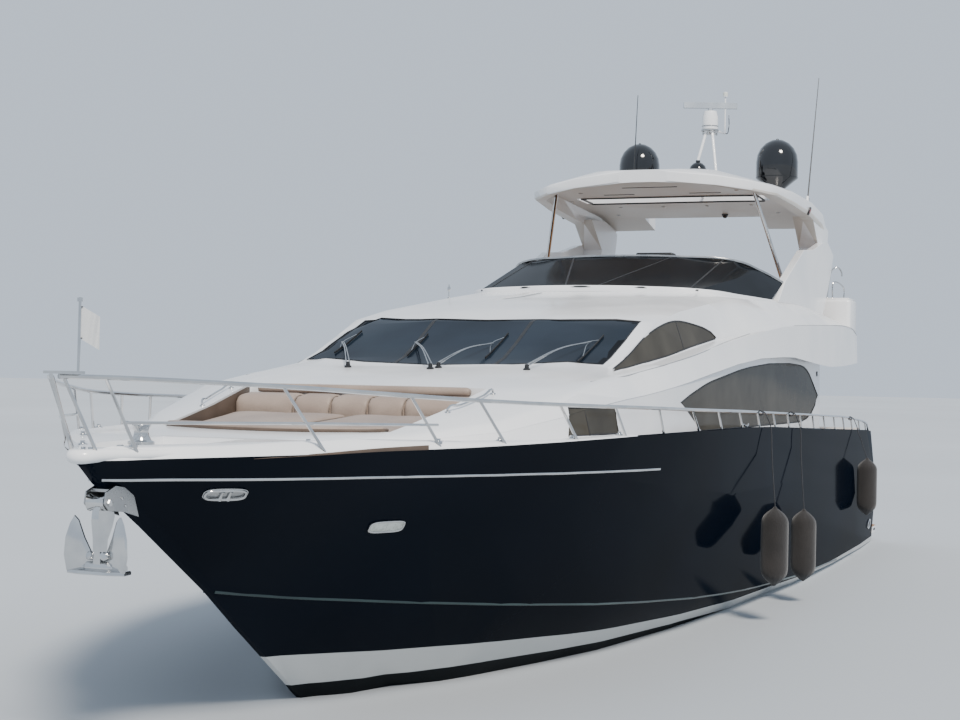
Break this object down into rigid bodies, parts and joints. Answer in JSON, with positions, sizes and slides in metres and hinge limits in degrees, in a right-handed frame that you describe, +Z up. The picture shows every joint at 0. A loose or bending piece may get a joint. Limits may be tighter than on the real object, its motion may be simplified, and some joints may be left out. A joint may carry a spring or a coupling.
{
  "type": "flybridge motor yacht",
  "caption": "Planing flybridge motor yacht with a dark flared hull, raked deckhouse, hardtop, foredeck sunpad, stern garage and twin screws.",
  "frame": {"origin": "on the waterline, amidships, on the centreline", "axes": "+X towards the bow, +Y to port, +Z up"},
  "size_m": [25, 6.4113, 10.2397],
  "materials": {
    "hull_paint": "high gloss",
    "gelcoat": "gloss",
    "teak": "oiled",
    "side_glass": "tinted",
    "screen_glass": "tinted",
    "stainless": "polished",
    "aerial": "satin",
    "black_gloss": "gloss",
    "cushion": "stitched",
    "dark_trim": "matte",
    "fender_cloth": "knitted",
    "bronze": "cast",
    "engine_paint": "satin"
  },
  "bodies": {
    "yacht": {"hull": "hull_paint", "bulwark_port": "hull_paint", "bulwark_starboard": "hull_paint", "foredeck": "gelcoat", "main_deck": "teak", "arch_window_port": "side_glass", "arch_window_starboard": "side_glass", "saloon_window_port": "side_glass", "saloon_window_starboard": "side_glass", "forward_window_port": "side_glass", "forward_window_starboard": "side_glass", "windscreen": "screen_glass", "superstructure": "gelcoat", "saloon_door_fixed": "side_glass", "flybridge": "gelcoat", "flybridge_screen": "screen_glass", "arch_fin_port": "gelcoat", "arch_fin_starboard": "gelcoat", "hardtop": "gelcoat", "hardtop_pole_port": "stainless", "hardtop_pole_starboard": "stainless", "radar_mast": "gelcoat", "dome_port": "black_gloss", "dome_starboard": "black_gloss", "whip_aerial_port": "aerial", "whip_aerial_starboard": "aerial", "bow_rail_port": "stainless", "bow_rail_starboard": "stainless", "guard_rail_port": "stainless", "guard_rail_starboard": "stainless", "jackstaff": "stainless", "anchor_roller": "stainless", "anchor": "stainless", "fender_1": "fender_cloth", "fender_2": "fender_cloth", "fender_3": "fender_cloth", "sunpad": "cushion", "sunpad_bolster": "cushion", "swim_platform": "teak", "engine_port": "engine_paint", "engine_starboard": "engine_paint", "shaft_port": "bronze", "shaft_starboard": "bronze", "helm_console": "dark_trim", "helm_seat": "cushion", "flybridge_settee": "cushion", "flybridge_table": "teak", "cockpit_bench": "cushion"},
    "radar_scanner": {"radar_scanner": "gelcoat"},
    "saloon_door": {"saloon_door_sliding": "side_glass"},
    "anchor_locker_lid": {"anchor_locker_lid": "gelcoat"},
    "garage_door": {"garage_door": "hull_paint"},
    "stern_gate_port": {"stern_gate_port": "stainless"},
    "stern_gate_starboard": {"stern_gate_starboard": "stainless"},
    "propeller_port": {"propeller_port": "bronze"},
    "propeller_starboard": {"propeller_starboard": "bronze"},
    "rudder_port": {"rudder_port": "bronze"},
    "rudder_starboard": {"rudder_starboard": "bronze"},
    "helm_wheel": {"helm_wheel": "dark_trim"}
  },
  "joints": [
    {"name": "radar_spin", "type": "hinge", "parent": "yacht", "child": "radar_scanner", "pos_m": [-8, 0, 8.3], "axis": [0, 0, 1], "continuous": true},
    {"name": "saloon_door_slide", "type": "slide", "parent": "yacht", "child": "saloon_door", "axis": [0, -1, 0], "range_m": [0, 1.45]},
    {"name": "anchor_locker_hinge", "type": "hinge", "parent": "yacht", "child": "anchor_locker_lid", "pos_m": [10.71, 0, 2.4403], "axis": [0, -1, 0], "range_deg": [0, 80]},
    {"name": "garage_door_hinge", "type": "hinge", "parent": "yacht", "child": "garage_door", "pos_m": [-11.08303, 0, 1.498], "axis": [0, 1, 0], "range_deg": [0, 75]},
    {"name": "stern_gate_port_hinge", "type": "hinge", "parent": "yacht", "child": "stern_gate_port", "pos_m": [-9.842, 2.61, 2], "axis": [0, 0, 1], "range_deg": [0, 90]},
    {"name": "stern_gate_starboard_hinge", "type": "hinge", "parent": "yacht", "child": "stern_gate_starboard", "pos_m": [-9.842, -2.61, 2], "axis": [0, 0, -1], "range_deg": [0, 90]},
    {"name": "propeller_port_spin", "type": "hinge", "parent": "yacht", "child": "propeller_port", "pos_m": [-9.65, 1.15, -1.0445], "axis": [0.9824, 0, 0.1867], "continuous": true},
    {"name": "propeller_starboard_spin", "type": "hinge", "parent": "yacht", "child": "propeller_starboard", "pos_m": [-9.65, -1.15, -1.0445], "axis": [0.9824, 0, 0.1867], "continuous": true},
    {"name": "rudder_port_turn", "type": "hinge", "parent": "yacht", "child": "rudder_port", "pos_m": [-10.8, 1.15, -0.5], "axis": [0, 0, 1], "range_deg": [-35, 35]},
    {"name": "rudder_starboard_turn", "type": "hinge", "parent": "yacht", "child": "rudder_starboard", "pos_m": [-10.8, -1.15, -0.5], "axis": [0, 0, 1], "range_deg": [-35, 35]},
    {"name": "helm_wheel_turn", "type": "hinge", "parent": "yacht", "child": "helm_wheel", "pos_m": [-2.5, 0.4, 4.7], "axis": [0.8776, 0, -0.4794], "range_deg": [-720, 720]}
  ],
  "couplings": [
    {"joint": "rudder_starboard_turn", "follows": "rudder_port_turn", "ratio": 1},
    {"joint": "helm_wheel_turn", "follows": "rudder_port_turn", "ratio": 20.57}
  ]
}
